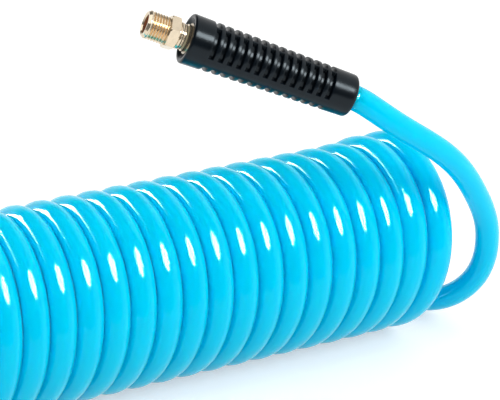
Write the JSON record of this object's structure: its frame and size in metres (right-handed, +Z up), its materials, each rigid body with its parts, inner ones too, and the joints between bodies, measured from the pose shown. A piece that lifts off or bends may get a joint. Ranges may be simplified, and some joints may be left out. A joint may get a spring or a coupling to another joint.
{
  "type": "coiled air hose",
  "caption": "Close-wound recoil air hose with a free tail, a slotted grip sleeve and a brass swivel pipe-thread fitting at each end.",
  "frame": {"origin": "centre of the whole object's bounds in plan, on the floor that the coil rests on", "axes": "+X along the coil's axis towards the upright tail, +Z up, -Y towards the side from which the tail comes up in front of the coil"},
  "size_m": [0.3602, 0.1495, 0.1963],
  "materials": {
    "hose": "glossy polyurethane",
    "grip": "satin moulded thermoplastic rubber",
    "ferrule_brass": "bright turned brass",
    "stem_brass": "bright turned brass",
    "fitting_brass": "bright turned brass",
    "seal": "matt nitrile rubber",
    "spring_steel": "drawn spring wire",
    "washer_plastic": "natural acetal"
  },
  "bodies": {
    "hose_base": {"coil": "hose", "tail_b": "hose", "hose_end_b": "hose", "sleeve_b": "grip", "ferrule_b": "ferrule_brass", "stem_b": "stem_brass", "o_ring_b": "seal", "snap_ring_b": "spring_steel", "thrust_washer_b": "washer_plastic"},
    "free_end": {"tail_a": "hose", "hose_end_a": "hose", "sleeve_a": "grip", "ferrule_a": "ferrule_brass", "stem_a": "stem_brass", "o_ring_a": "seal", "snap_ring_a": "spring_steel", "thrust_washer_a": "washer_plastic"},
    "swivel_a": {"thread_body_a": "fitting_brass"},
    "swivel_b": {"thread_body_b": "fitting_brass"}
  },
  "joints": [
    {"name": "coil_stretch", "type": "slide", "parent": "hose_base", "child": "free_end", "axis": [1, 0, 0], "range_m": [0, 1.2], "stiffness_N_per_m": 4, "springref_m": -0.1, "deforming": ["coil"]},
    {"name": "swivel_a", "type": "hinge", "parent": "free_end", "child": "swivel_a", "pos_m": [0.01895, -0.04151, 0.18312], "axis": [-0.8851, 0.2289, 0.4051], "continuous": true},
    {"name": "swivel_b", "type": "hinge", "parent": "hose_base", "child": "swivel_b", "pos_m": [-0.01296, 0.06317, 0.01167], "axis": [0.9998, 0, 0.0193], "continuous": true}
  ]
}
